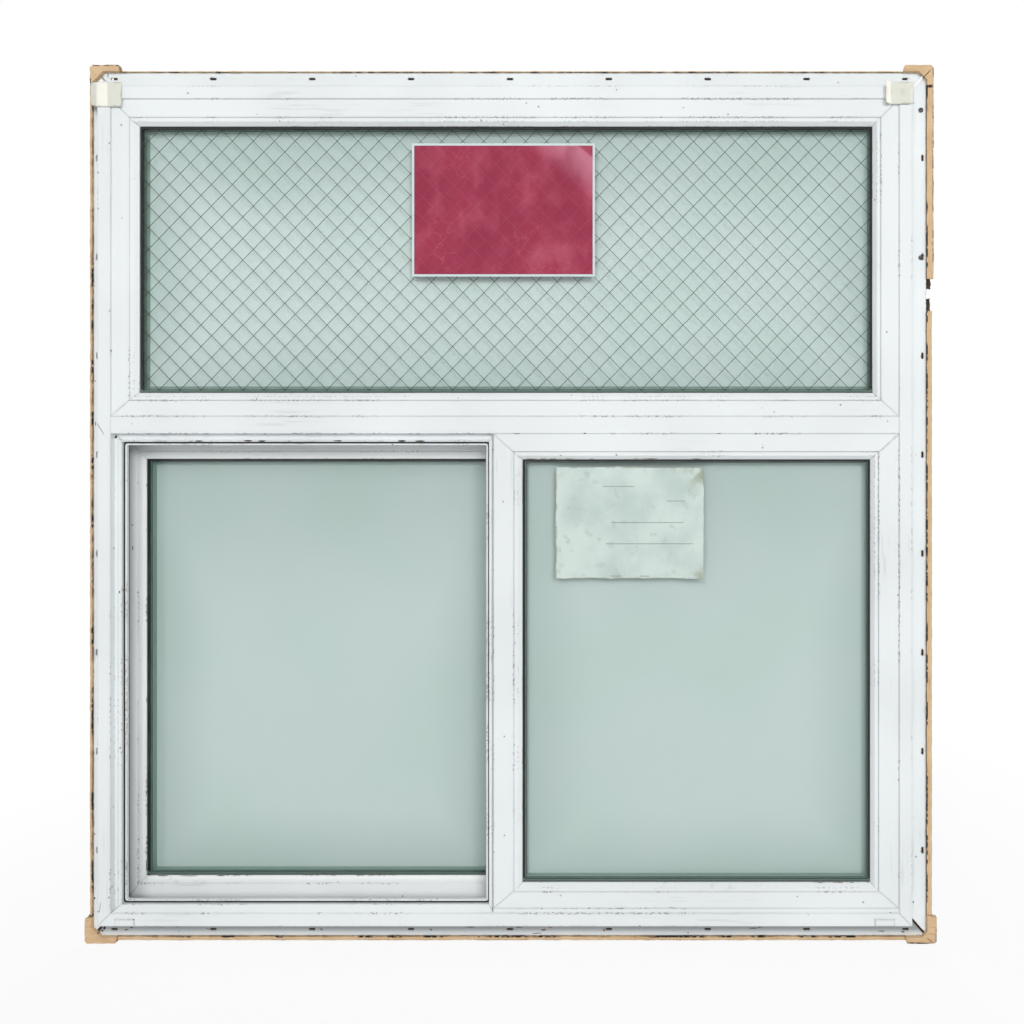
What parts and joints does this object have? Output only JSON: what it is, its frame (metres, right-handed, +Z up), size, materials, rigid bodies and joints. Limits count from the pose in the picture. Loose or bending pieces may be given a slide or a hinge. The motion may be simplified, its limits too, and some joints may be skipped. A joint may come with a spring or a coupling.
{
  "type": "horizontal sliding window with fixed top lite",
  "caption": "White vinyl window with a nail fin: a fixed wired-glass lite above a transom bar, a fixed lite below it and a sash that slides sideways behind.",
  "frame": {"origin": "on the back face of the sill's nail fin, halfway up the fin and halfway along the sill", "axes": "+Z up, +X to the right seen from outdoors, +Y indoors and square to the wall"},
  "size_m": [1.2876, 0.0904, 1.3281],
  "materials": {
    "frame_vinyl": "satin",
    "sash_vinyl": "satin",
    "wired_glass": "obscure",
    "frosted_glass": "frosted",
    "gasket": "matte",
    "spacer": "dull",
    "cardboard": "matte card",
    "roller": "matte",
    "latch": "satin",
    "brush": "pile",
    "weep_cover": "satin"
  },
  "bodies": {
    "frame": {"corner_guard_bottom_left": "cardboard", "corner_guard_bottom_right": "cardboard", "corner_guard_top_left": "cardboard", "corner_guard_top_right": "cardboard", "edge_strip_bottom": "cardboard", "edge_strip_left": "cardboard", "edge_strip_right": "cardboard", "edge_strip_top": "cardboard", "fixed_lite_beads": "frame_vinyl", "fixed_lite_gasket": "gasket", "fixed_lite_head_rail": "frame_vinyl", "fixed_lite_inner_pane": "frosted_glass", "fixed_lite_jamb_stile": "frame_vinyl", "fixed_lite_meeting_stile": "frame_vinyl", "fixed_lite_outer_pane": "frosted_glass", "fixed_lite_sill_rail": "frame_vinyl", "fixed_lite_sill_strip": "frame_vinyl", "fixed_lite_spacer": "spacer", "frame_head": "frame_vinyl", "frame_jamb_left": "frame_vinyl", "frame_jamb_right": "frame_vinyl", "frame_sill": "frame_vinyl", "top_lite_beads": "frame_vinyl", "top_lite_gasket": "gasket", "top_lite_head_rail": "frame_vinyl", "top_lite_inner_pane": "frosted_glass", "top_lite_left_stile": "frame_vinyl", "top_lite_outer_pane": "wired_glass", "top_lite_right_stile": "frame_vinyl", "top_lite_spacer": "spacer", "top_lite_stop_bottom": "frame_vinyl", "top_lite_stop_left": "frame_vinyl", "top_lite_stop_right": "frame_vinyl", "top_lite_stop_top": "frame_vinyl", "top_lite_transom_rail": "frame_vinyl", "track_brushes": "brush", "transom_bar": "frame_vinyl", "vent_head_track": "frame_vinyl", "vent_jamb_track": "frame_vinyl", "vent_sill_track": "frame_vinyl", "vent_stile_track": "frame_vinyl", "weep_covers": "weep_cover"},
    "sash": {"sash_beads": "sash_vinyl", "sash_bottom_rail": "sash_vinyl", "sash_gasket": "gasket", "sash_inner_pane": "frosted_glass", "sash_interlock_stile": "sash_vinyl", "sash_latch": "latch", "sash_outer_pane": "frosted_glass", "sash_pull_stile": "sash_vinyl", "sash_rollers": "roller", "sash_spacer": "spacer", "sash_top_rail": "sash_vinyl"}
  },
  "joints": [
    {"name": "sash_slide", "type": "slide", "parent": "frame", "child": "sash", "axis": [1, 0, 0], "range_m": [0, 0.56]}
  ]
}
